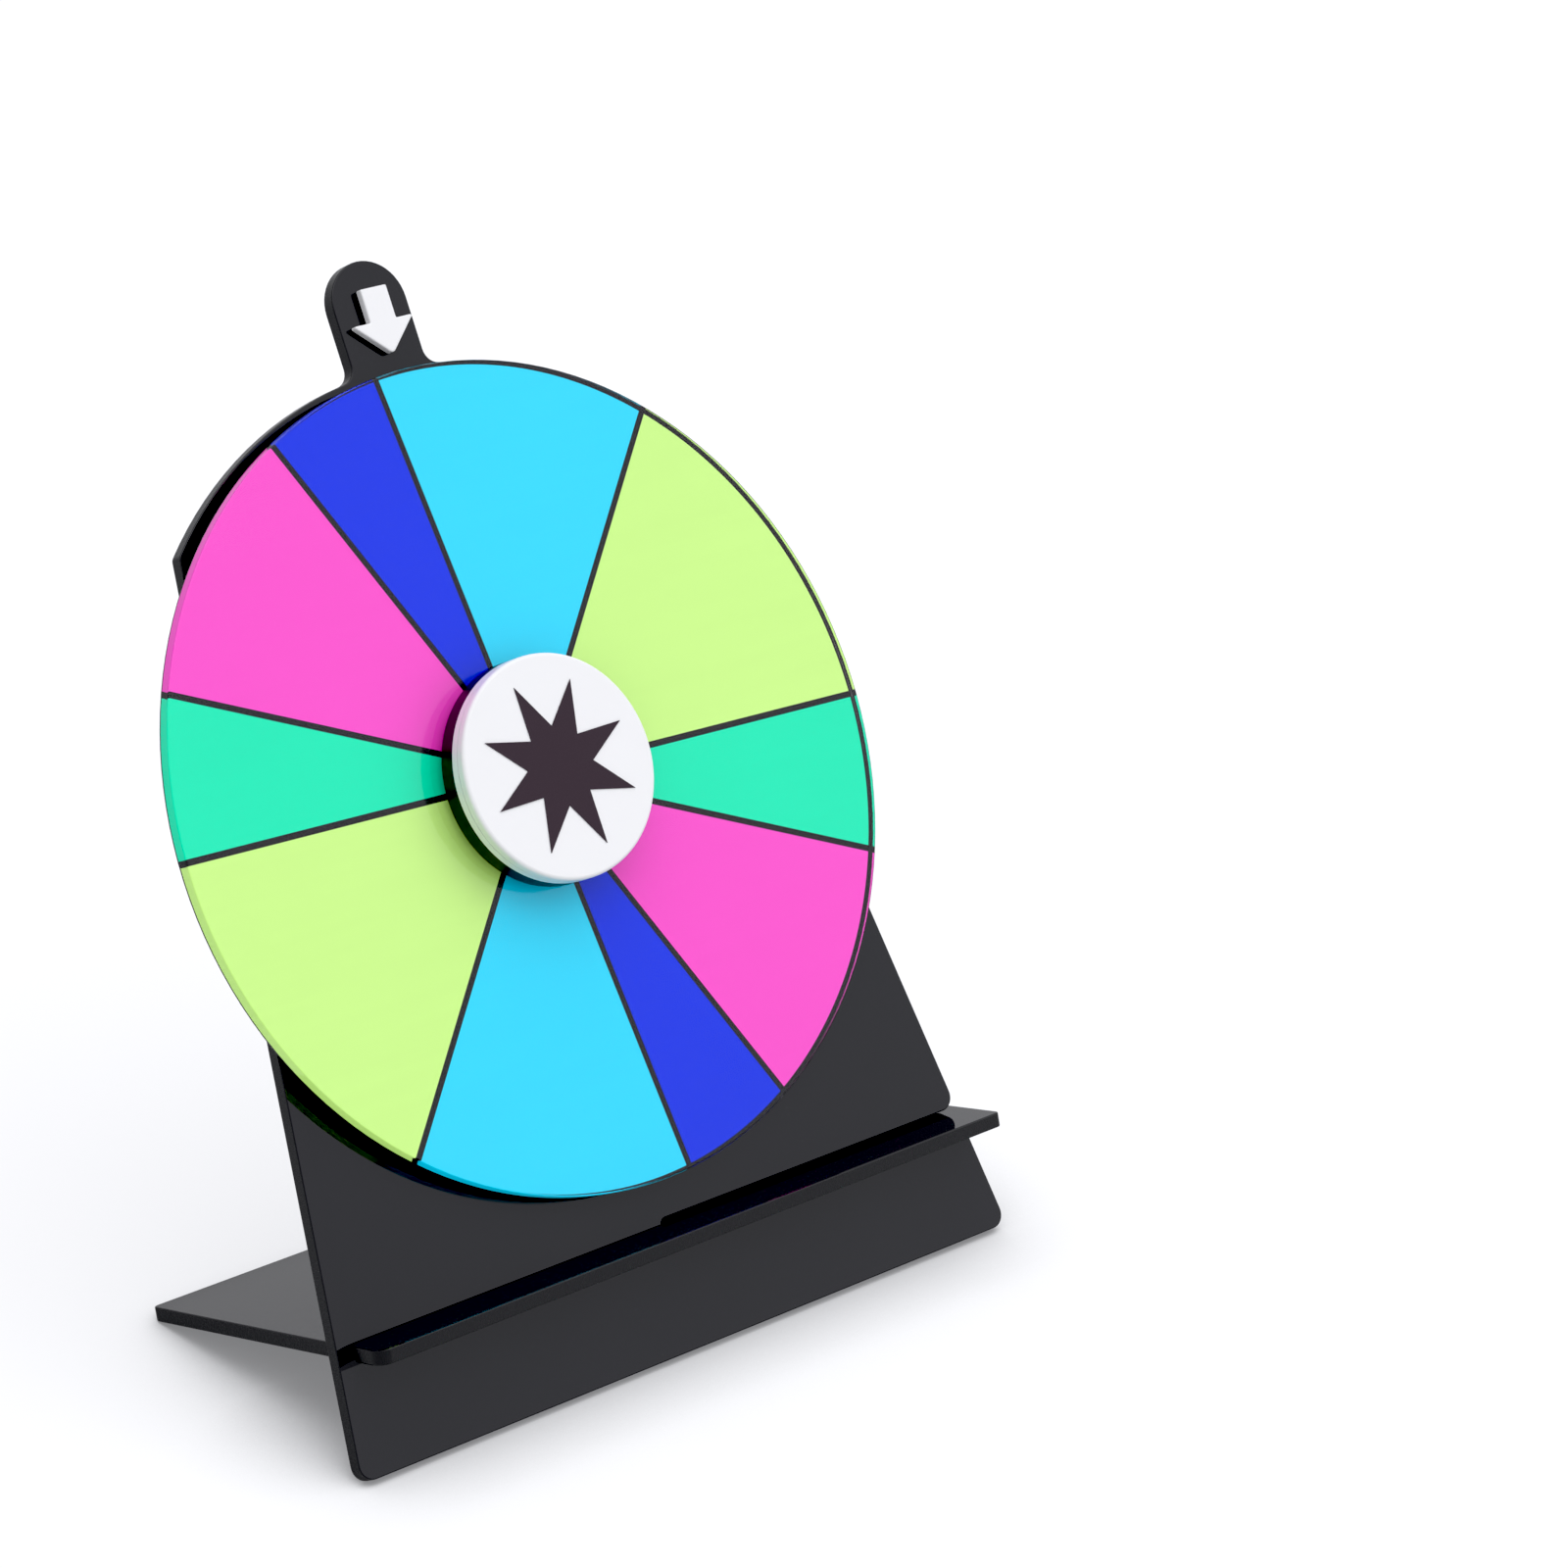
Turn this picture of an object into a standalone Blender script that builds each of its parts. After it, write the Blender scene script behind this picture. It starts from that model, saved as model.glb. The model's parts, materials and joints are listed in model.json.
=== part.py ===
"""Tabletop game spinner.

A round dial with coloured sectors turns in front of a leaning black panel. The panel and a
sloping foot plate slot into each other and stand the spinner up. A fixed arrow on the panel's
tab reads the dial, and a round hub screws the dial onto its axle, so that dials can be swapped.

Two local frames carry the parts, each held by an empty:
  stand_frame  x to the right, y up the leaning panel, z straight out of its front face
  foot_frame   x to the right, y back along the foot plate, z out of its top face
The dial's axis is the z axis of axle_frame, which is stand_frame moved up to the dial's centre.
"""

import math

import bmesh
import bpy
from mathutils import Matrix

MM = 0.001

# Stand: two plates of one acrylic sheet, slotted into each other.
SHEET = 3.0 * MM
LEAN = math.radians(31.5)  # panel, back from upright
FOOT_SLOPE = math.radians(18.5)  # foot plate, down towards the back
PLATE_EDGE = 0.25 * MM  # small round on the plates' cut edges
PLATE_CORNER = 3.0 * MM

PANEL_BASE_HALF = 83.0 * MM
PANEL_ARC_R = 83.7 * MM  # top edge, about the dial's centre
PANEL_SHOULDER = math.radians(45.5)  # where the sides meet the top arc, from straight up
SHOULDER_CORNER = 1.5 * MM
TAB_HALF = 8.8 * MM
TAB_TOP = 222.0 * MM
TAB_FILLET = 3.2 * MM

SLOT = 3.95 * MM  # both slots: the sheet crossed at an angle, and its play
SLOT_END_ROUND = 1.2 * MM
SLOT_MOUTH_ROUND = 3.0 * MM
CROSSING = 25.4 * MM  # up the panel's front face, where the foot's top face meets it
FOOT_HALF = 79.5 * MM
FOOT_SHIFT = 1.9 * MM  # the foot stands this far to the right of fully home
FOOT_LIP = 11.0 * MM
FOOT_SQUARE_CORNER = 1.2 * MM

# Dial and hub, as layers out from the panel's front face.
DIAL_R = 82.5 * MM
DIAL_CENTRE = 116.3 * MM  # up the panel
DIAL_BORE_R = 1.75 * MM
DIAL_BACK = 3.1 * MM
DIAL_EDGE = 0.25 * MM
LAYER_GAP = 0.15 * MM

HUB_R = 22.4 * MM
HUB_BASE_T = 3.6 * MM
HUB_RING_T = 1.7 * MM
HUB_RING_HOLE_R = 2.0 * MM
HUB_COVER_T = 1.95 * MM
HUB_ROUND = 0.7 * MM
HUB_STAR_TIP_R = 17.65 * MM
HUB_STAR_NOTCH_R = 7.85 * MM
HUB_STAR_T = 0.15 * MM
HUB_STAR_GAP = 0.05 * MM
HUB_STAR_TURN = math.radians(16.7)  # anticlockwise from a tip straight up
STAR_TIPS = 8

# Pointer arrow on the tab, bonded a little to the right of its middle.
ARROW_SHIFT = 0.5 * MM
ARROW_TOP = 216.2 * MM
ARROW_SHOULDER = 209.4 * MM
ARROW_POINT = 202.6 * MM
ARROW_STEM_HALF = 3.15 * MM
ARROW_BARB_HALF = 7.35 * MM
ARROW_POINT_ROUND = 1.0 * MM
ARROW_CORNER_ROUND = 0.3 * MM
ARROW_T = 1.8 * MM
ARROW_EDGE = 0.45 * MM

# Axle: M3 screw through a flanged 3 x 10 x 4 ball bearing set in the panel.
BOLT_R = 1.5 * MM
BOLT_LENGTH = 15.0 * MM
BOLT_HEAD_R = 2.75 * MM
BOLT_HEAD_H = 3.0 * MM
BOLT_SOCKET_AF = 2.5 * MM
BOLT_SOCKET_DEPTH = 1.5 * MM
BOLT_CHAMFER = 0.3 * MM
AXLE_BORE_R = 1.6 * MM
NUT_AF = 5.5 * MM
NUT_T = 2.1 * MM
NUT_POCKET_AF = 5.8 * MM
NUT_POCKET_DEPTH = 2.4 * MM
SHIM_R = 2.5 * MM
SHIM_T = 0.5 * MM
BACKING_R = 12.0 * MM
BACKING_T = 1.0 * MM

BEARING_R = 5.0 * MM
BEARING_W = 4.0 * MM
BEARING_HOLE_R = 5.15 * MM
FLANGE_R = 5.75 * MM
OUTER_RING_IN_R = 3.9 * MM
INNER_RING_OUT_R = 2.6 * MM
BALL_COUNT = 7
BALL_R = 0.75 * MM
BALL_PITCH_R = 3.25 * MM
RACE_PLAY = 0.08 * MM
CAGE_IN_R = 2.95 * MM
CAGE_OUT_R = 3.55 * MM
CAGE_HALF_H = 1.05 * MM
SHIELD_T = 0.15 * MM
SHIELD_INSET = 0.1 * MM
SHIELD_IN_R = 2.75 * MM
SHIELD_OUT_R = 3.8 * MM

# Facets round a full turn.
DIAL_STEPS = 144
HUB_STEPS = 96
SMALL_STEPS = 32
FACET_SAG = 0.02 * MM  # furthest that a flat facet runs inside a true round
MERGE = 0.01 * MM
CURVE_WELD = 0.001 * MM  # joins a filled outline's caps to its sides
FLAT_WITHIN = math.radians(0.5)  # faces this near to one plane are made one
BEVEL_FROM = math.radians(50)  # corners sharper than this get a rounded edge
SHARP_FROM = math.radians(35)  # and than this are shaded sharp
BALL_SEGMENTS = 14
BALL_RINGS = 8

# Heights worked out from the above, from the panel's front face.
HUB_BASE_Z = DIAL_BACK + SHEET + LAYER_GAP
HUB_RING_Z = HUB_BASE_Z + HUB_BASE_T + LAYER_GAP
HUB_COVER_Z = HUB_RING_Z + HUB_RING_T + LAYER_GAP
HUB_STAR_Z = HUB_COVER_Z + HUB_COVER_T + HUB_STAR_GAP
BEARING_BACK = -SHEET
BEARING_FRONT = BEARING_BACK + BEARING_W
BEARING_MID = (BEARING_BACK + BEARING_FRONT) / 2
BACKING_Z = DIAL_BACK - LAYER_GAP - BACKING_T
REAR_SHIM_Z = BEARING_BACK - LAYER_GAP - SHIM_T
BOLT_SEAT = REAR_SHIM_Z - LAYER_GAP


def edge_trim(slope):
    """How much a rounded plate edge stands short of its sharp one, straight down."""
    return PLATE_EDGE * (math.sin(slope) + math.cos(slope) - 1)


# The panel leans on its back bottom edge, and the foot reaches the same floor at its back end.
PANEL_LIFT = SHEET * math.sin(LEAN) - edge_trim(LEAN)
CROSSING_HEIGHT = PANEL_LIFT + CROSSING * math.cos(LEAN)
FOOT_DROP = CROSSING_HEIGHT + edge_trim(FOOT_SLOPE) - SHEET * math.cos(FOOT_SLOPE)
FOOT_LENGTH = FOOT_DROP / math.sin(FOOT_SLOPE)
DEPTH = TAB_TOP * math.sin(LEAN) + SHEET * math.cos(LEAN)
CROSS_ANGLE = LEAN - FOOT_SLOPE
SLOT_CENTRE = CROSSING + SHEET * (math.tan(CROSS_ANGLE) - 1 / math.cos(CROSS_ANGLE)) / 2
FOOT_SLOT_CENTRE = SHEET * (1 / math.cos(CROSS_ANGLE) - math.tan(CROSS_ANGLE)) / 2

parts = bpy.data.collections.new("game_spinner")
cutters = bpy.data.collections.new("cutters")


# ---------------------------------------------------------------- scene and materials


def clear_scene():
    for obj in list(bpy.data.objects):
        bpy.data.objects.remove(obj, do_unlink=True)
    for collection in (parts, cutters):
        bpy.context.scene.collection.children.link(collection)


def material(name, colour, roughness, metallic=0.0, transmission=0.0):
    made = bpy.data.materials.new(name)
    made.use_nodes = True
    shader = made.node_tree.nodes["Principled BSDF"]
    shader.inputs["Base Color"].default_value = (*colour, 1.0)
    shader.inputs["Roughness"].default_value = roughness
    shader.inputs["Metallic"].default_value = metallic
    shader.inputs["Transmission Weight"].default_value = transmission
    made.diffuse_color = (*colour, 1.0)
    return made


def frame(name, location, turn_x=0.0, parent=None):
    """An empty that carries pieces: its place and its turn about x."""
    empty = bpy.data.objects.new(name, None)
    empty.location = location
    empty.rotation_euler = (turn_x, 0, 0)
    empty.parent = parent
    parts.objects.link(empty)
    return empty


# ---------------------------------------------------------------- outlines


def arc(centre, radius, start, end):
    """Points along an arc, both ends included, close enough to stay within FACET_SAG."""
    step = 2 * math.acos(1 - FACET_SAG / radius)
    count = max(2, math.ceil(abs(end - start) / step))
    angles = [start + (end - start) * i / count for i in range(count + 1)]
    return [(centre[0] + radius * math.cos(a), centre[1] + radius * math.sin(a)) for a in angles]


def fillet(before, corner, after, radius):
    """Points of the round that replaces a corner between two straight runs."""
    to_before = (before[0] - corner[0], before[1] - corner[1])
    to_after = (after[0] - corner[0], after[1] - corner[1])
    a = math.atan2(to_before[1], to_before[0])
    b = math.atan2(to_after[1], to_after[0])
    opening = (b - a + math.pi) % (2 * math.pi) - math.pi
    middle = a + opening / 2
    reach = radius / math.sin(abs(opening) / 2)
    centre = (corner[0] + reach * math.cos(middle), corner[1] + reach * math.sin(middle))
    start = a - math.copysign(math.pi / 2, opening)
    sweep = math.copysign(math.pi - abs(opening), -opening)
    return arc(centre, radius, start, start + sweep)


def rounded(corners):
    """A closed outline from (x, y, radius) corners; radius 0 keeps a corner sharp."""
    points = []
    for i, (x, y, radius) in enumerate(corners):
        if radius:
            points += fillet(corners[i - 1], (x, y), corners[(i + 1) % len(corners)], radius)
        else:
            points.append((x, y))
    return points


def circle(radius, steps):
    return [(radius * math.cos(2 * math.pi * i / steps), radius * math.sin(2 * math.pi * i / steps))
            for i in range(steps)]


def hexagon(across_flats):
    return circle(across_flats / 2 / math.cos(math.pi / 6), 6)


# ---------------------------------------------------------------- makers of objects


def finish(obj, parent, finish_material):
    """Puts a piece under its frame and gives it its material and smooth shading."""
    obj.parent = parent
    obj.data.materials.append(finish_material)
    obj.data.shade_smooth()
    obj.data.set_sharp_from_angle(angle=SHARP_FROM)
    return obj


def plate(name, loops, bottom, thickness, parent, finish_material, edge=0.0):
    """A flat piece cut from sheet: an outline with its holes, from bottom up by thickness."""
    curve = bpy.data.curves.new(name + "_outline", "CURVE")
    curve.dimensions = "2D"
    curve.fill_mode = "BOTH"
    curve.extrude = thickness / 2
    for loop in loops:
        spline = curve.splines.new("POLY")
        spline.points.add(len(loop) - 1)
        for point, (x, y) in zip(spline.points, loop):
            point.co = (x, y, 0, 1)
        spline.use_cyclic_u = True
    outline = bpy.data.objects.new(name + "_outline", curve)
    parts.objects.link(outline)
    bpy.context.view_layer.update()
    evaluated = outline.evaluated_get(bpy.context.evaluated_depsgraph_get())
    mesh = bpy.data.meshes.new_from_object(evaluated)
    bpy.data.objects.remove(outline, do_unlink=True)
    bm = bmesh.new()
    bm.from_mesh(mesh)
    bmesh.ops.remove_doubles(bm, verts=bm.verts, dist=CURVE_WELD)
    bmesh.ops.dissolve_limit(bm, angle_limit=FLAT_WITHIN, verts=bm.verts, edges=bm.edges)
    bmesh.ops.translate(bm, verts=bm.verts, vec=(0, 0, bottom + thickness / 2))
    bmesh.ops.recalc_face_normals(bm, faces=bm.faces)
    bm.to_mesh(mesh)
    bm.free()
    obj = bpy.data.objects.new(name, mesh)
    parts.objects.link(obj)
    if edge:
        bevel = obj.modifiers.new("edge", "BEVEL")
        bevel.width = edge
        bevel.segments = 2
        bevel.limit_method = "ANGLE"
        bevel.angle_limit = BEVEL_FROM
    return finish(obj, parent, finish_material)


def turned(name, profile, steps, parent, finish_material, closed=False):
    """A turned piece: profile (radius, z) points running down the outer side, about the z axis."""
    bm = bmesh.new()
    points = [bm.verts.new((radius, 0, z)) for radius, z in profile]
    ends = points[1:] + (points[:1] if closed else [])
    for start, end in zip(points, ends):
        bm.edges.new((start, end))
    mesh = bpy.data.meshes.new(name)
    bm.to_mesh(mesh)
    bm.free()
    obj = bpy.data.objects.new(name, mesh)
    parts.objects.link(obj)
    screw = obj.modifiers.new("turn", "SCREW")
    screw.axis = "Z"
    screw.steps = steps
    screw.render_steps = steps
    screw.use_merge_vertices = True
    screw.merge_threshold = MERGE
    screw.use_smooth_shade = True
    return finish(obj, parent, finish_material)


def disc_profile(radius, bottom, top, round_top=0.0, round_bottom=0.0):
    """Half section of a solid disc, from the axis at the top to the axis at the bottom."""
    profile = [(0, top)]
    profile += corner_profile(radius, top, -1, round_top)
    profile += corner_profile(radius, bottom, 1, round_bottom)[::-1]
    return profile + [(0, bottom)]


def corner_profile(radius, z, inward, size):
    """The outer corner of a disc: the point itself, or a quarter round of the given size."""
    if not size:
        return [(radius, z)]
    quarter = arc((0, 0), size, math.pi / 2, 0)
    return [(radius - size + x, z + inward * (size - y)) for x, y in quarter]


def ring_profile(inner, outer, bottom, top):
    return [(outer, top), (outer, bottom), (inner, bottom), (inner, top)]


def cutter(name, mesh_maker, location, parent):
    """A closed mesh that only cuts others."""
    bm = bmesh.new()
    mesh_maker(bm)
    mesh = bpy.data.meshes.new(name)
    bm.to_mesh(mesh)
    bm.free()
    obj = bpy.data.objects.new(name, mesh)
    obj.location = location
    obj.parent = parent
    obj.hide_render = True
    obj.display_type = "WIRE"
    cutters.objects.link(obj)
    return obj


def hexagonal_cutter(name, across_flats, depth, level, parent):
    """A hexagonal prism that cuts others, reaching as far below the given level as above it."""
    radius = across_flats / 2 / math.cos(math.pi / 6)

    def prism(bm):
        bmesh.ops.create_cone(bm, cap_ends=True, segments=6, radius1=radius, radius2=radius, depth=2 * depth,
                              matrix=Matrix.Rotation(math.pi / 6, 4, "Z"))

    return cutter(name, prism, (0, 0, level), parent)


def cut(obj, tool):
    boolean = obj.modifiers.new(tool.name, "BOOLEAN")
    boolean.operation = "DIFFERENCE"
    boolean.object = tool


# ---------------------------------------------------------------- stand


def panel_outline():
    """Anticlockwise from the bottom left corner; the slot opens on the right edge."""
    shoulder = (PANEL_ARC_R * math.sin(PANEL_SHOULDER), DIAL_CENTRE + PANEL_ARC_R * math.cos(PANEL_SHOULDER))
    slope = (PANEL_BASE_HALF - shoulder[0]) / shoulder[1]
    low = SLOT_CENTRE - SLOT / 2
    high = SLOT_CENTRE + SLOT / 2
    slot_mouth = (PANEL_BASE_HALF - slope * high, high)
    lower = rounded([
        (-PANEL_BASE_HALF, 0, PLATE_CORNER),
        (PANEL_BASE_HALF, 0, PLATE_CORNER),
        (PANEL_BASE_HALF - slope * low, low, SLOT_MOUTH_ROUND),
        (0, low, SLOT_END_ROUND),
        (0, high, SLOT_END_ROUND),
        (*slot_mouth, SLOT_MOUTH_ROUND),
        (*shoulder, 0),
        (-shoulder[0], shoulder[1], 0),
    ])[:-2]
    fillet_height = math.sqrt((PANEL_ARC_R + TAB_FILLET) ** 2 - (TAB_HALF + TAB_FILLET) ** 2)
    fillet_turn = math.atan2(TAB_HALF + TAB_FILLET, fillet_height)
    up = math.pi / 2
    right_arc = arc((0, DIAL_CENTRE), PANEL_ARC_R, up - PANEL_SHOULDER, up - fillet_turn)
    right_fillet = arc((TAB_HALF + TAB_FILLET, DIAL_CENTRE + fillet_height), TAB_FILLET,
                       -up - fillet_turn, -math.pi)
    tab = arc((0, TAB_TOP - TAB_HALF), TAB_HALF, 0, math.pi)
    right = fillet(slot_mouth, shoulder, right_arc[1], SHOULDER_CORNER)
    right += right_arc[1:] + right_fillet[1:]
    left = [(-x, y) for x, y in reversed(right)]
    return lower + right + tab + left


def make_stand(frame_, black, white):
    hole = [(x, y + DIAL_CENTRE) for x, y in circle(BEARING_HOLE_R, SMALL_STEPS)]
    plate("front_panel", [panel_outline(), hole], -SHEET, SHEET, frame_, black, PLATE_EDGE)
    outline = rounded([
        (-ARROW_STEM_HALF, ARROW_TOP, ARROW_CORNER_ROUND),
        (-ARROW_STEM_HALF, ARROW_SHOULDER, ARROW_CORNER_ROUND),
        (-ARROW_BARB_HALF, ARROW_SHOULDER, ARROW_CORNER_ROUND),
        (0, ARROW_POINT, ARROW_POINT_ROUND),
        (ARROW_BARB_HALF, ARROW_SHOULDER, ARROW_CORNER_ROUND),
        (ARROW_STEM_HALF, ARROW_SHOULDER, ARROW_CORNER_ROUND),
        (ARROW_STEM_HALF, ARROW_TOP, ARROW_CORNER_ROUND),
    ])
    arrow = [(x + ARROW_SHIFT, y) for x, y in outline]
    plate("pointer_arrow", [arrow], LAYER_GAP, ARROW_T, frame_, white, ARROW_EDGE)


def make_foot(frame_, black):
    left = FOOT_SHIFT - FOOT_HALF
    right = FOOT_SHIFT + FOOT_HALF
    front = FOOT_SLOT_CENTRE - SLOT / 2
    back = FOOT_SLOT_CENTRE + SLOT / 2
    outline = rounded([
        (left, -FOOT_LIP, PLATE_CORNER),
        (right, -FOOT_LIP, FOOT_SQUARE_CORNER),
        (right, FOOT_LENGTH, FOOT_SQUARE_CORNER),
        (left, FOOT_LENGTH, FOOT_SQUARE_CORNER),
        (left, back, SLOT_MOUTH_ROUND),
        (FOOT_SHIFT, back, SLOT_END_ROUND),
        (FOOT_SHIFT, front, SLOT_END_ROUND),
        (left, front, SLOT_MOUTH_ROUND),
    ])
    plate("foot_plate", [outline], -SHEET, SHEET, frame_, black, PLATE_EDGE)


# ---------------------------------------------------------------- bearing and axle


def groove(side):
    """Half round of a race, down the outer side for side -1 (inner ring), up for side 1."""
    radius = BALL_R + RACE_PLAY
    wall = INNER_RING_OUT_R if side < 0 else OUTER_RING_IN_R
    half = math.acos(abs(wall - BALL_PITCH_R) / radius)
    facing = math.pi if side < 0 else 0.0
    return arc((BALL_PITCH_R, BEARING_MID), radius, facing - half, facing + half)


def make_bearing(frame_, steel, cage_frame, brass):
    outer = [(FLANGE_R, BEARING_FRONT), (FLANGE_R, LAYER_GAP), (BEARING_R, LAYER_GAP),
             (BEARING_R, BEARING_BACK), (OUTER_RING_IN_R, BEARING_BACK)]
    outer += groove(1) + [(OUTER_RING_IN_R, BEARING_FRONT)]
    turned("bearing_outer_ring", outer, SMALL_STEPS, frame_, steel, closed=True)
    for name, low in (("bearing_shield_rear", BEARING_BACK + SHIELD_INSET),
                      ("bearing_shield_front", BEARING_FRONT - SHIELD_INSET - SHIELD_T)):
        profile = ring_profile(SHIELD_IN_R, SHIELD_OUT_R, low, low + SHIELD_T)
        turned(name, profile, SMALL_STEPS, frame_, steel, closed=True)
    cage_profile = ring_profile(CAGE_IN_R, CAGE_OUT_R, BEARING_MID - CAGE_HALF_H, BEARING_MID + CAGE_HALF_H)
    cage = turned("bearing_cage", cage_profile, SMALL_STEPS, cage_frame, brass, closed=True)
    for i in range(BALL_COUNT):
        turn = 2 * math.pi * i / BALL_COUNT
        place = (BALL_PITCH_R * math.cos(turn), BALL_PITCH_R * math.sin(turn), BEARING_MID)
        cut(cage, cutter(f"cage_pocket_{i + 1}", lambda bm: ball(bm, BALL_R + RACE_PLAY), place, cage_frame))
        make_ball(f"bearing_ball_{i + 1}", place, cage_frame, steel)


def ball(bm, radius):
    bmesh.ops.create_uvsphere(bm, u_segments=BALL_SEGMENTS, v_segments=BALL_RINGS, radius=radius)


def make_ball(name, place, parent, steel):
    bm = bmesh.new()
    ball(bm, BALL_R)
    mesh = bpy.data.meshes.new(name)
    bm.to_mesh(mesh)
    bm.free()
    obj = bpy.data.objects.new(name, mesh)
    obj.location = place
    parts.objects.link(obj)
    finish(obj, parent, steel)


def make_axle(frame_, steel, black):
    inner = [(INNER_RING_OUT_R, BEARING_FRONT)]
    inner += groove(-1) + [(INNER_RING_OUT_R, BEARING_BACK)]
    inner += [(AXLE_BORE_R, BEARING_BACK), (AXLE_BORE_R, BEARING_FRONT)]
    turned("bearing_inner_ring", inner, SMALL_STEPS, frame_, steel, closed=True)
    shim = ring_profile(AXLE_BORE_R, SHIM_R, REAR_SHIM_Z, REAR_SHIM_Z + SHIM_T)
    turned("rear_shim", shim, SMALL_STEPS, frame_, steel, closed=True)
    spacer = ring_profile(AXLE_BORE_R, SHIM_R, BEARING_FRONT + LAYER_GAP, BACKING_Z - LAYER_GAP)
    turned("axle_spacer", spacer, SMALL_STEPS, frame_, steel, closed=True)
    backing = ring_profile(AXLE_BORE_R, BACKING_R, BACKING_Z, BACKING_Z + BACKING_T)
    turned("dial_backing_washer", backing, 2 * SMALL_STEPS, frame_, black, closed=True)
    tip = BOLT_SEAT + BOLT_LENGTH
    head = BOLT_SEAT - BOLT_HEAD_H
    bolt = turned("axle_bolt", [
        (0, tip), (BOLT_R - BOLT_CHAMFER, tip), (BOLT_R, tip - BOLT_CHAMFER), (BOLT_R, BOLT_SEAT),
        (BOLT_HEAD_R, BOLT_SEAT), (BOLT_HEAD_R, head + BOLT_CHAMFER), (BOLT_HEAD_R - BOLT_CHAMFER, head),
        (0, head),
    ], SMALL_STEPS, frame_, steel)
    cut(bolt, hexagonal_cutter("bolt_socket", BOLT_SOCKET_AF, BOLT_SOCKET_DEPTH, head, frame_))


# ---------------------------------------------------------------- dial and hub


def make_dial(frame_, clear):
    front = DIAL_BACK + SHEET
    profile = corner_profile(DIAL_R, front, -1, DIAL_EDGE)
    profile += corner_profile(DIAL_R, DIAL_BACK, 1, DIAL_EDGE)[::-1]
    profile += [(DIAL_BORE_R, DIAL_BACK), (DIAL_BORE_R, front)]
    turned("dial", profile, DIAL_STEPS, frame_, clear, closed=True)


def star_outline():
    points = []
    for i in range(2 * STAR_TIPS):
        radius = HUB_STAR_NOTCH_R if i % 2 else HUB_STAR_TIP_R
        turn = math.pi / 2 + HUB_STAR_TURN + math.pi * i / STAR_TIPS
        points.append((radius * math.cos(turn), radius * math.sin(turn)))
    return points


def make_hub(frame_, black, white, steel):
    base_top = HUB_BASE_Z + HUB_BASE_T
    profile = ring_profile(AXLE_BORE_R, HUB_R, HUB_BASE_Z, base_top)
    base = turned("hub_base", profile, HUB_STEPS, frame_, black, closed=True)
    cut(base, hexagonal_cutter("nut_pocket", NUT_POCKET_AF, NUT_POCKET_DEPTH, base_top, frame_))
    nut = [hexagon(NUT_AF), circle(AXLE_BORE_R, SMALL_STEPS)]
    plate("hub_nut", nut, base_top - NUT_POCKET_DEPTH + LAYER_GAP, NUT_T, frame_, steel)
    ring = [circle(HUB_R, HUB_STEPS), circle(HUB_RING_HOLE_R, SMALL_STEPS)]
    plate("hub_ring", ring, HUB_RING_Z, HUB_RING_T, frame_, white)
    top = HUB_COVER_Z + HUB_COVER_T
    turned("hub_cover", disc_profile(HUB_R, HUB_COVER_Z, top, round_top=HUB_ROUND), HUB_STEPS, frame_, white)
    plate("hub_star", [star_outline()], HUB_STAR_Z, HUB_STAR_T, frame_, black)


def main():
    clear_scene()
    black = material("black_acrylic", (0.03, 0.03, 0.033), 0.08)
    white = material("white_plastic", (0.86, 0.86, 0.88), 0.3)
    clear = material("clear_acrylic", (0.85, 0.95, 0.98), 0.05, transmission=0.9)
    steel = material("steel", (0.6, 0.6, 0.62), 0.25, metallic=1.0)
    brass = material("brass", (0.7, 0.52, 0.25), 0.35, metallic=1.0)
    front_foot = -DEPTH / 2  # the panel's front bottom edge
    stand_frame = frame("stand_frame", (0, front_foot, PANEL_LIFT), math.pi / 2 - LEAN)
    crossing = (0, front_foot + CROSSING * math.sin(LEAN), CROSSING_HEIGHT)
    foot_frame = frame("foot_frame", crossing, -FOOT_SLOPE)
    centre = (0, DIAL_CENTRE, 0)
    axle_frame = frame("axle_frame", centre, parent=stand_frame)
    cage_frame = frame("cage_frame", centre, parent=stand_frame)
    dial_frame = frame("dial_frame", (0, 0, 0), parent=axle_frame)
    hub_frame = frame("hub_frame", (0, 0, 0), parent=dial_frame)
    bearing_frame = frame("bearing_frame", centre, parent=stand_frame)
    make_stand(stand_frame, black, white)
    make_foot(foot_frame, black)
    make_bearing(bearing_frame, steel, cage_frame, brass)
    make_axle(axle_frame, steel, black)
    make_dial(dial_frame, clear)
    make_hub(hub_frame, black, white, steel)


main()
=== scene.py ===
"""Looks of the tabletop game spinner: the dial's print, the finish of every part, light and camera.

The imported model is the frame. Its parts keep their shapes and get smooth shading and detailed
materials. The dial's ink layers are thin pieces of their own, set just inside the clear disc's back
face, so that the ink is seen through the disc as on the real one.
"""

import json
import math

import bmesh
import bpy
from mathutils import Matrix, Vector


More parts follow.
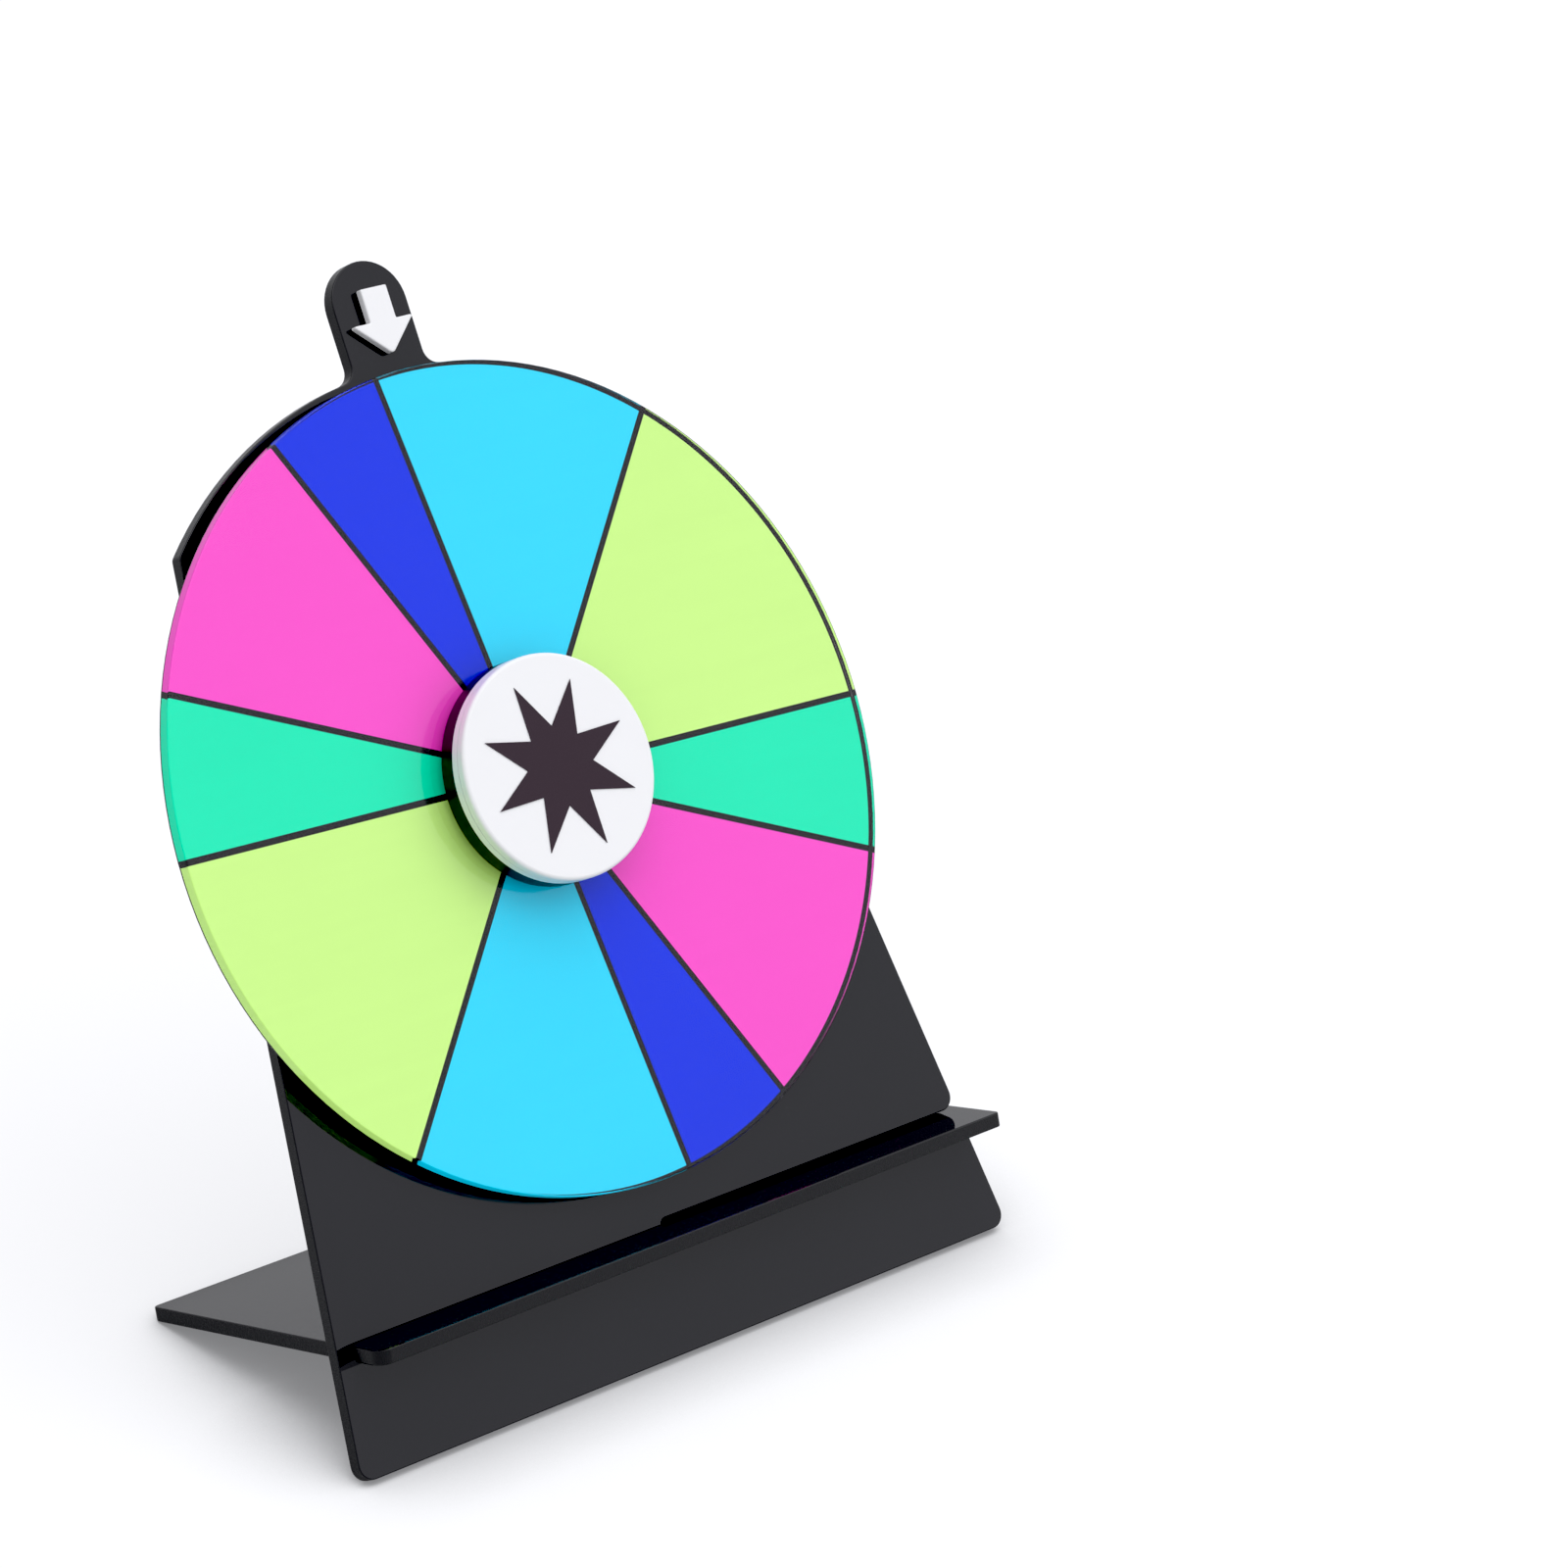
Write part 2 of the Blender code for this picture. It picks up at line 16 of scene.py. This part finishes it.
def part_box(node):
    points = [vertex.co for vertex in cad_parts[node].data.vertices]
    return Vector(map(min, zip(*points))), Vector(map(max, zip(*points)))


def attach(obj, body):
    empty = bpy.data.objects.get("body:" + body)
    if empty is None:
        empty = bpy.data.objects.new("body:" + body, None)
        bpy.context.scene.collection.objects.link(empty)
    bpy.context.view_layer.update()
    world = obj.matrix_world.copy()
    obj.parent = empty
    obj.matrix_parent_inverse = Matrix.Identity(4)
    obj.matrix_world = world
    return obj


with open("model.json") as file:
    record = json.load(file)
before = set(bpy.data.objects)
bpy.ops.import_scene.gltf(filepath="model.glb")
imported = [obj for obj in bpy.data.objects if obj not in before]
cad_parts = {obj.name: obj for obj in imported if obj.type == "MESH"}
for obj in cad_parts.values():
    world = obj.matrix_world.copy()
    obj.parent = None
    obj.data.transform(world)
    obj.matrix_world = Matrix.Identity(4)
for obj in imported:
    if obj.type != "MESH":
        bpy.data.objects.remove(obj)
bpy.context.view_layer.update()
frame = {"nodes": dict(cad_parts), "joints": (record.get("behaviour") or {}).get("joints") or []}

MM = 0.001
X_AXIS = Vector((1, 0, 0))

# Camera.
CAMERA_PLACE = Vector((-0.6002, -0.7140, 0.5288))
CAMERA_YAW = math.radians(43.14)
CAMERA_DOWN = math.radians(24.55)
CAMERA_ROLL = math.radians(3.38)
CAMERA_LENS = 120.9

# Studio: an even dome, a little dimmer low behind the object, with a soft light overhead and a
# softbox at the front right, over a pale floor. Spreads and fades are cosines, outer end first.
STUDIO_TINT = (0.965, 0.97, 1.0, 1)
DOME_LIGHT = 0.74
BACKDROP_LIGHT = 0.70
BACKDROP_AWAY = Vector((0, -0.5, 1))
BACKDROP_FADE = (-0.45, -0.05)
TOP_LIGHT = 1.4
TOP_DIRECTION = Vector((0.10, -0.20, 0.97)).normalized()
TOP_SPREAD = (math.cos(math.radians(46)), math.cos(math.radians(8)))
FRONT_LIGHT = 0.70  # the large softbox that the sheets mirror
FRONT_DIRECTION = Vector((0.585, -0.685, 0.435)).normalized()
FRONT_SPREAD = (math.cos(math.radians(36)), math.cos(math.radians(12)))
BLACK_LEVEL = 0.03  # the picture's black point, which takes the sheets' even veil away
FLOOR_RADIUS = 8.0
FLOOR_WHITE = 0.58
# The floor's glow, which only the camera sees, is painted light, and its fade near what stands on the
# floor is a painted contact shadow.
SEEN_FLOOR_WHITE = 0.27  # as the camera meets it: it also glows, so that its shadows stay pale
SEEN_FLOOR_GLOW = 0.75
CONTACT_REACH = 32 * MM  # the glow fades this near to what stands on the floor
PAINTED_CONTACT_SHADE = 0.30
CONTACT_OPEN = (0.35, 0.97)  # shares of open sky between which it fades

# Ink layers of the dial, heights above the clear disc's back face.
BACKING_LOW = 0.05 * MM
BLACK_LOW = 0.10 * MM
SECTORS_LOW = 0.14 * MM
INK_THICKNESS = 0.02 * MM
PRINT_MARGIN = 0.1 * MM  # between the ink and the disc's edge
RIM_LINE = 0.5 * MM
SECTOR_LINE = 1.3 * MM
PRINT_HOLE_R = 2.1 * MM
SECTOR_HOLE_R = 2.7 * MM
BACKING_MARGIN = 1.2 * MM
ARC_STEP = math.radians(1.25)

# Sectors clockwise from just left of the top, twice round the dial.
FIRST_SECTOR = math.radians(-5.2)
SECTORS = (("cyan", 45.0), ("lime", 52.5), ("teal", 22.5), ("magenta", 40.0), ("blue", 20.0))
INKS = {
    "cyan": (0.027, 0.687, 0.985),
    "lime": (0.606, 0.940, 0.252),
    "teal": (0.006, 0.820, 0.464),
    "magenta": (0.985, 0.081, 0.593),
    "blue": (0.001, 0.029, 0.763),
}

# Smooth shading: how a face's tilt, the cosine to its sheet's direction, sorts it.
FLAT_FROM = 0.9995
WALL_UP_TO = 0.01
KIND_SLACK = 0.1
SHARP_EDGE = math.radians(35)
WELD = 0.002 * MM
CUT_EDGE_FADE = (0.35, 0.6)  # tilts between which the finish turns from cut edge to face

# Finishes.
ACRYLIC_IOR = 1.49
NOISE_ROUGHNESS = 0.5
CUT_TONE = (0.014, 0.014, 0.015)
CUT_ROUGHNESS = 0.28
CUT_DEPTH = 0.0015 * MM  # of the laser's striations
DUST = (0.30, 0.30, 0.32)
DUST_AMOUNT = 0.10


# ---------------------------------------------------------------- the dial's own frame

joints = {joint["name"]: joint for joint in frame["joints"]}
dial_centre = Vector(joints["dial_spin"]["pos_m"])
dial_axis = Vector(joints["dial_spin"]["axis"]).normalized()
panel_up = dial_axis.cross(X_AXIS)
dial_frame = Matrix.Translation(dial_centre) @ Matrix((X_AXIS, panel_up, dial_axis)).transposed().to_4x4()


def lowest(node):
    """The height of a node's back face along the dial's axis, from the panel's front face."""
    return min((vertex.co - dial_centre).dot(dial_axis) for vertex in frame["nodes"][node].data.vertices)


def plate_normal(node):
    """The direction that a sheet's two big faces point in, taken from its largest triangle."""
    mesh = frame["nodes"][node].data
    largest = max(mesh.polygons, key=lambda face: face.area)
    return largest.normal.copy()


# ---------------------------------------------------------------- material building


class Finish:
    """A material with a Principled shader, and a short way to add nodes in front of it."""

    def __init__(self, name):
        self.material = bpy.data.materials.new(name)
        self.material.use_nodes = True
        self.nodes = self.material.node_tree.nodes
        self.links = self.material.node_tree.links
        self.shader = self.nodes["Principled BSDF"]

    def add(self, kind, inputs=None, **settings):
        node = self.nodes.new("ShaderNode" + kind)
        for name, value in settings.items():
            setattr(node, name, value)
        for name, value in (inputs or {}).items():
            self.put(node.inputs[name], value)
        return node

    def put(self, socket, value):
        if isinstance(value, bpy.types.NodeSocket):
            self.links.new(value, socket)
        else:
            socket.default_value = value

    def set(self, **values):
        """Sets the Principled shader's sockets, named in lower case with underscores."""
        for name, value in values.items():
            self.put(self.shader.inputs[name.replace("_", " ").title().replace("Ior", "IOR")], value)

    def place(self, own_frame, stretch=(1, 1, 1)):
        """Object coordinates in metres, turned into a part's own frame and stretched along its axes."""
        coords = self.add("TexCoord").outputs["Object"]
        turn = own_frame.to_3x3().inverted().to_euler()
        turned = self.add("Mapping", {"Vector": coords, "Rotation": turn}).outputs[0]
        return self.add("Mapping", {"Vector": turned, "Scale": stretch}).outputs[0]

    def noise(self, where, scale, detail):
        settings = {"Vector": where, "Scale": scale, "Detail": detail, "Roughness": NOISE_ROUGHNESS}
        return self.add("TexNoise", settings).outputs[0]

    def remap(self, value, low, high, to_low, to_high):
        node = self.add("MapRange", {"Value": value, "From Min": low, "From Max": high,
                                     "To Min": to_low, "To Max": to_high})
        return node.outputs[0]

    def math(self, operation, first, second=0.0):
        node = self.add("Math", operation=operation)
        self.put(node.inputs[0], first)
        self.put(node.inputs[1], second)
        return node.outputs[0]

    def blend(self, factor, first, second):
        """Mixes two colours."""
        node = self.add("Mix", data_type="RGBA")
        self.put(node.inputs["Factor"], factor)
        self.put(node.inputs[6], (*first, 1) if isinstance(first, tuple) else first)
        self.put(node.inputs[7], (*second, 1) if isinstance(second, tuple) else second)
        return node.outputs[2]

    def bump(self, height, depth):
        node = self.add("Bump", {"Height": height, "Distance": depth, "Strength": 1.0})
        self.put(self.shader.inputs["Normal"], node.outputs[0])

    def cut_edge(self, plate_direction):
        """1 on a sheet's cut edges and 0 on its faces."""
        normal = self.add("TexCoord").outputs["Normal"]
        along = self.add("VectorMath", operation="DOT_PRODUCT")
        self.put(along.inputs[0], normal)
        self.put(along.inputs[1], tuple(plate_direction))
        return self.remap(self.math("ABSOLUTE", along.outputs["Value"]), *CUT_EDGE_FADE, 1.0, 0.0)


def frame_of(direction):
    """A turn whose z axis is a sheet's own direction, with x across the object."""
    across = (X_AXIS - direction * X_AXIS.dot(direction)).normalized()
    return Matrix((across, direction.cross(across), direction)).transposed().to_4x4()


def black_acrylic(name, direction, cut_tone=CUT_TONE, cut_roughness=CUT_ROUGHNESS, cut_depth=CUT_DEPTH):
    """Gloss black cast sheet: faint smears in the polish, a little dust, and laser-cut edges."""
    finish = Finish(name)
    sheet = frame_of(direction)
    own = finish.place(sheet)
    edge = finish.cut_edge(direction)
    cloud = finish.noise(own, 35.0, detail=4.0)
    dust = finish.remap(finish.noise(own, 2600.0, detail=1.0), 0.79, 0.83, 0.0, DUST_AMOUNT)
    tone = finish.blend(cloud, (0.0078, 0.0077, 0.0102), (0.0098, 0.0097, 0.0126))
    tone = finish.blend(dust, tone, DUST)
    finish.set(base_color=finish.blend(edge, tone, cut_tone))
    smear = finish.remap(finish.noise(own, 60.0, detail=6.0), 0.3, 0.75, 0.015, 0.05)
    fine = finish.noise(finish.place(sheet, (1, 1, 0.06)), 3500.0, detail=2.0)
    cut = finish.remap(fine, 0.3, 0.7, cut_roughness * 0.93, cut_roughness * 1.07)
    finish.set(roughness=finish.add("Mix", {"Factor": edge, 2: smear, 3: cut}).outputs[0], ior=ACRYLIC_IOR)
    striations = finish.noise(finish.place(sheet, (1, 1, 0.03)), 4200.0, detail=2.0)
    finish.bump(finish.math("MULTIPLY", striations, edge), cut_depth)
    return finish.material


def clear_acrylic():
    """Clear cast sheet. Light that falls on the ink passes straight through it, and sight is refracted."""
    finish = Finish("clear_acrylic_detailed")
    own = finish.place(dial_frame)
    edge = finish.cut_edge(dial_axis)
    smear = finish.remap(finish.noise(own, 45.0, detail=5.0), 0.35, 0.75, 0.0, 0.012)
    finish.set(base_color=finish.blend(edge, (0.985, 0.995, 0.995), (0.60, 0.62, 0.62)))
    finish.set(transmission_weight=1.0, ior=ACRYLIC_IOR)
    finish.set(roughness=finish.add("Mix", {"Factor": edge, 2: smear, 3: 0.12}).outputs[0])
    striations = finish.noise(finish.place(dial_frame, (1, 1, 0.05)), 2500.0, detail=1.0)
    finish.bump(finish.math("MULTIPLY", striations, edge), 0.004 * MM)
    path = finish.add("LightPath")
    lit = finish.math("MAXIMUM", path.outputs["Is Shadow Ray"], path.outputs["Is Diffuse Ray"])
    through = finish.add("BsdfTransparent", {"Color": (0.96, 0.97, 0.97, 1)})
    either = finish.add("MixShader", {"Fac": lit, 1: finish.shader.outputs[0], 2: through.outputs[0]})
    finish.links.new(either.outputs[0], finish.nodes["Material Output"].inputs["Surface"])
    return finish.material


def ink(name, colour):
    """Printed ink under acrylic: fine print-head banding across the dial, and a grain."""
    finish = Finish("ink_" + name)
    own = finish.place(dial_frame)
    bands = finish.noise(finish.place(dial_frame, (0.02, 1, 1)), 1100.0, detail=2.0)
    grain = finish.noise(own, 5200.0, detail=2.0)
    cloud = finish.noise(own, 28.0, detail=3.0)
    amount = finish.math("ADD", finish.math("MULTIPLY", bands, 0.4), finish.math("MULTIPLY", grain, 0.3))
    amount = finish.math("ADD", amount, finish.math("MULTIPLY", cloud, 0.3))
    darker = tuple(channel * 0.93 for channel in colour)
    lighter = tuple(min(1.0, channel * 1.05 + 0.002) for channel in colour)
    finish.set(base_color=finish.blend(amount, darker, lighter), roughness=0.6, specular_ior_level=0.0)
    return finish.material


def white_plastic():
    """White sheet with a soft gloss."""
    finish = Finish("white_plastic_detailed")
    own = finish.place(dial_frame)
    cloud = finish.noise(own, 90.0, detail=4.0)
    finish.set(base_color=finish.blend(cloud, (0.825, 0.825, 0.835), (0.840, 0.840, 0.850)))
    finish.set(roughness=finish.remap(finish.noise(own, 400.0, detail=4.0), 0.3, 0.7, 0.34, 0.42))
    finish.set(ior=ACRYLIC_IOR)
    finish.bump(finish.noise(own, 2200.0, detail=2.0), 0.002 * MM)
    return finish.material


def black_vinyl():
    """Dark satin film, faintly brown, with a fine grain."""
    finish = Finish("black_vinyl_detailed")
    own = finish.place(dial_frame)
    grain = finish.noise(own, 3000.0, detail=3.0)
    finish.set(base_color=finish.blend(grain, (0.040, 0.026, 0.035), (0.048, 0.033, 0.042)), roughness=0.5)
    finish.set(specular_ior_level=0.3)
    finish.bump(grain, 0.002 * MM)
    return finish.material


def turned_metal(name, colour, rough):
    """Machined metal with fine rings from the lathe."""
    finish = Finish(name)
    own = finish.place(dial_frame)
    rings = finish.add("TexWave", {"Vector": own, "Scale": 900.0, "Distortion": 0.6}, wave_type="RINGS",
                       rings_direction="Z").outputs[1]
    cloud = finish.noise(own, 900.0, detail=4.0)
    darker = tuple(channel * 0.82 for channel in colour)
    finish.set(base_color=finish.blend(cloud, darker, colour), metallic=1.0)
    finish.set(roughness=finish.remap(cloud, 0.3, 0.7, rough * 0.8, rough * 1.3))
    finish.bump(rings, 0.002 * MM)
    return finish.material


# ---------------------------------------------------------------- CAD nodes


def smoothing_group(name, plate_direction):
    """A modifier's node group: welds the facets' corners, then shades smooth within the flat faces,
    within the side walls and within the rounds between them, with a sharp edge wherever those meet."""
    group = bpy.data.node_groups.new(name, "GeometryNodeTree")
    group.interface.new_socket("Geometry", in_out="INPUT", socket_type="NodeSocketGeometry")
    group.interface.new_socket("Geometry", in_out="OUTPUT", socket_type="NodeSocketGeometry")
    nodes, links = group.nodes, group.links

    def compute(operation, first, second=0.0):
        node = nodes.new("ShaderNodeMath")
        node.operation = operation
        for socket, value in zip(node.inputs, (first, second)):
            if isinstance(value, float):
                socket.default_value = value
            else:
                links.new(value, socket)
        return node.outputs[0]

    start = nodes.new("NodeGroupInput")
    plain = nodes.new("GeometryNodeRemoveAttribute")
    plain.inputs["Name"].default_value = "custom_normal"
    weld = nodes.new("GeometryNodeMergeByDistance")
    weld.inputs["Distance"].default_value = WELD
    faces = nodes.new("GeometryNodeSetShadeSmooth")
    sharp = nodes.new("GeometryNodeSetShadeSmooth")
    sharp.domain = "EDGE"
    sharp.inputs["Shade Smooth"].default_value = False
    end = nodes.new("NodeGroupOutput")
    links.new(start.outputs[0], plain.inputs[0])
    links.new(plain.outputs[0], weld.inputs[0])
    links.new(weld.outputs[0], faces.inputs["Geometry"])
    links.new(faces.outputs[0], sharp.inputs["Geometry"])
    links.new(sharp.outputs[0], end.inputs[0])

    along = nodes.new("ShaderNodeVectorMath")
    along.operation = "DOT_PRODUCT"
    along.inputs[1].default_value = plate_direction
    links.new(nodes.new("GeometryNodeInputNormal").outputs["True Normal"], along.inputs[0])
    tilt = compute("ABSOLUTE", along.outputs["Value"])
    flat = compute("GREATER_THAN", tilt, FLAT_FROM)
    wall = compute("LESS_THAN", tilt, WALL_UP_TO)
    kind = nodes.new("GeometryNodeFieldOnDomain")
    kind.domain = "FACE"
    links.new(compute("SUBTRACT", flat, wall), kind.inputs[0])
    # An edge takes its two faces' mean, which is half of one where a round meets a flat face or a wall.
    half_way = compute("ABSOLUTE", compute("SUBTRACT", compute("ABSOLUTE", kind.outputs[0]), 0.5))
    between_kinds = compute("LESS_THAN", half_way, KIND_SLACK)
    angle = nodes.new("GeometryNodeInputMeshEdgeAngle").outputs["Unsigned Angle"]
    steep = compute("GREATER_THAN", angle, SHARP_EDGE)
    links.new(compute("MAXIMUM", between_kinds, steep), sharp.inputs["Selection"])
    return group


def finish_nodes():
    foot_direction = plate_normal("foot_plate")
    panel_smooth = smoothing_group("smooth_facets_panel", dial_axis)
    foot_smooth = smoothing_group("smooth_facets_foot", foot_direction)
    hub_black = black_acrylic("black_acrylic_hub", dial_axis, (0.004, 0.004, 0.005), 0.38, 0.001 * MM)
    own_finish = {
        "foot_plate": black_acrylic("black_acrylic_foot", foot_direction),
        "hub_base": hub_black,
    }
    by_slot = {
        "black_acrylic": black_acrylic("black_acrylic_panel", dial_axis),
        "clear_acrylic": clear_acrylic(),
        "white_plastic": white_plastic(),
        "black_vinyl": black_vinyl(),
        "steel": turned_metal("steel_detailed", (0.62, 0.62, 0.64), 0.28),
        "brass": turned_metal("brass_detailed", (0.72, 0.53, 0.26), 0.35),
    }
    for name, node in frame["nodes"].items():
        slot = node.material_slots[0]
        slot.material = own_finish.get(name, by_slot[slot.material.name])
        smooth = node.modifiers.new("smooth_facets", "NODES")
        smooth.node_group = foot_smooth if name == "foot_plate" else panel_smooth
        level = node.modifiers.new("level_flat_faces", "WEIGHTED_NORMAL")
        level.keep_sharp = True
        level.weight = 100


# ---------------------------------------------------------------- the dial's print


def arc(radius, start, end):
    """Points on a circle, angles clockwise from straight up, both ends included."""
    count = max(1, math.ceil(abs(end - start) / ARC_STEP))
    turns = [start + (end - start) * i / count for i in range(count + 1)]
    return [(radius * math.sin(turn), radius * math.cos(turn)) for turn in turns]


def sector_outline(start, end, inner, outer):
    """A sector between two dividing lines that keep their width from the middle to the rim."""
    half = SECTOR_LINE / 2
    tip = half / math.sin((end - start) / 2)
    outside = math.asin(half / outer)
    points = arc(outer, start + outside, end - outside)
    if tip > inner:
        middle = (start + end) / 2
        return points + [(tip * math.sin(middle), tip * math.cos(middle))]
    inside = math.asin(half / inner)
    return points + arc(inner, end - inside, start + inside)


def add_layer(bm, outline, low, material_index=0):
    """A closed slab of ink with this outline."""
    top = [bm.verts.new((x, y, low + INK_THICKNESS)) for x, y in outline]
    bottom = [bm.verts.new((x, y, low)) for x, y in outline]
    faces = [bm.faces.new(top[::-1]), bm.faces.new(bottom)]
    for i in range(len(outline)):
        faces.append(bm.faces.new((top[i - 1], top[i], bottom[i], bottom[i - 1])))
    for face in faces:
        face.material_index = material_index


def add_ring(bm, inner, outer, low):
    """A closed flat ring of ink."""
    steps = round(2 * math.pi / ARC_STEP)
    high = low + INK_THICKNESS
    corners = ((inner, low), (inner, high), (outer, high), (outer, low))
    loops = []
    for radius, height in corners:
        points = arc(radius, 0, 2 * math.pi)[:steps]
        loops.append([bm.verts.new((x, y, height)) for x, y in points])
    for a, b in zip(loops, loops[1:] + loops[:1]):
        for i in range(steps):
            bm.faces.new((a[i - 1], a[i], b[i], b[i - 1]))


def ink_piece(name, bm, materials):
    bmesh.ops.recalc_face_normals(bm, faces=bm.faces)
    mesh = bpy.data.meshes.new(name)
    bm.to_mesh(mesh)
    bm.free()
    for material in materials:
        mesh.materials.append(material)
    piece = bpy.data.objects.new(name, mesh)
    piece.matrix_world = dial_frame
    bpy.context.scene.collection.objects.link(piece)
    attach(piece, "dial")
    return piece


def print_dial():
    back = lowest("dial")
    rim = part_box("dial")[1].x - PRINT_MARGIN
    lines = bmesh.new()
    add_ring(lines, PRINT_HOLE_R, rim, back + BLACK_LOW)
    ink_piece("dial_print_lines", lines, [ink("black", (0.012, 0.010, 0.014))])
    backing = bmesh.new()
    add_ring(backing, PRINT_HOLE_R, rim - BACKING_MARGIN, back + BACKING_LOW)
    ink_piece("dial_print_backing", backing, [ink("white", (0.82, 0.82, 0.80))])
    sectors = bmesh.new()
    colours = list(INKS)
    start = FIRST_SECTOR
    for colour, width in SECTORS * 2:
        end = start + math.radians(width)
        outline = sector_outline(start, end, SECTOR_HOLE_R, rim - RIM_LINE)
        add_layer(sectors, outline, back + SECTORS_LOW, colours.index(colour))
        start = end
    ink_piece("dial_print_sectors", sectors, [ink(name, INKS[name]) for name in colours])


# ---------------------------------------------------------------- floor, light and camera


def make_floor():
    bm = bmesh.new()
    bmesh.ops.create_circle(bm, cap_ends=True, radius=FLOOR_RADIUS, segments=96)
    mesh = bpy.data.meshes.new("floor")
    bm.to_mesh(mesh)
    bm.free()
    floor = bpy.data.objects.new("floor", mesh)
    bpy.context.scene.collection.objects.link(floor)
    finish = Finish("floor_white")
    seen = finish.add("LightPath").outputs["Is Camera Ray"]
    base = finish.blend(seen, (FLOOR_WHITE,) * 3, (SEEN_FLOOR_WHITE,) * 3)
    finish.set(base_color=base, roughness=0.9, specular_ior_level=0.0)
    # Painted contact shadow: the camera-only glow dims where the things standing on the floor shut in its
    # sky.
    open_sky = finish.add("AmbientOcclusion", {"Distance": CONTACT_REACH}, samples=12).outputs["AO"]
    glow = finish.remap(open_sky, *CONTACT_OPEN, SEEN_FLOOR_GLOW * PAINTED_CONTACT_SHADE, SEEN_FLOOR_GLOW)
    finish.set(emission_color=STUDIO_TINT, emission_strength=finish.math("MULTIPLY", seen, glow))
    mesh.materials.append(finish.material)


def light_studio():
    world = bpy.data.worlds.new("studio")
    world.use_nodes = True
    bpy.context.scene.world = world
    tree = world.node_tree
    direction = tree.nodes.new("ShaderNodeTexCoord").outputs["Generated"]

    def fade(towards, start, end, low, high):
        """A light that changes smoothly from low to high as the direction turns towards this one."""
        along = tree.nodes.new("ShaderNodeVectorMath")
        along.operation = "DOT_PRODUCT"
        along.inputs[1].default_value = towards
        ramp = tree.nodes.new("ShaderNodeMapRange")
        ramp.interpolation_type = "SMOOTHSTEP"
        for socket, value in zip(("From Min", "From Max", "To Min", "To Max"), (start, end, low, high)):
            ramp.inputs[socket].default_value = value
        tree.links.new(direction, along.inputs[0])
        tree.links.new(along.outputs["Value"], ramp.inputs["Value"])
        return ramp.outputs["Result"]

    total = fade(BACKDROP_AWAY, *BACKDROP_FADE, BACKDROP_LIGHT, DOME_LIGHT)
    for light in (
        fade(TOP_DIRECTION, *TOP_SPREAD, 0, TOP_LIGHT),
        fade(FRONT_DIRECTION, *FRONT_SPREAD, 0, FRONT_LIGHT),
    ):
        both = tree.nodes.new("ShaderNodeMath")
        tree.links.new(total, both.inputs[0])
        tree.links.new(light, both.inputs[1])
        total = both.outputs[0]
    background = tree.nodes["Background"]
    background.inputs["Color"].default_value = STUDIO_TINT
    tree.links.new(total, background.inputs["Strength"])


def make_camera():
    data = bpy.data.cameras.new("camera")
    data.lens = CAMERA_LENS
    camera = bpy.data.objects.new("camera", data)
    turn = Matrix.Rotation(-CAMERA_YAW, 4, "Z") @ Matrix.Rotation(math.pi / 2 - CAMERA_DOWN, 4, "X")
    camera.matrix_world = Matrix.Translation(CAMERA_PLACE) @ turn @ Matrix.Rotation(CAMERA_ROLL, 4, "Z")
    bpy.context.scene.collection.objects.link(camera)
    bpy.context.scene.camera = camera


def grade_picture():
    view = bpy.context.scene.view_settings
    view.view_transform = "Standard"
    view.use_curve_mapping = True
    view.curve_mapping.black_level = (BLACK_LEVEL, BLACK_LEVEL, BLACK_LEVEL)
    view.curve_mapping.update()


finish_nodes()
print_dial()
make_floor()
light_studio()
make_camera()
grade_picture()
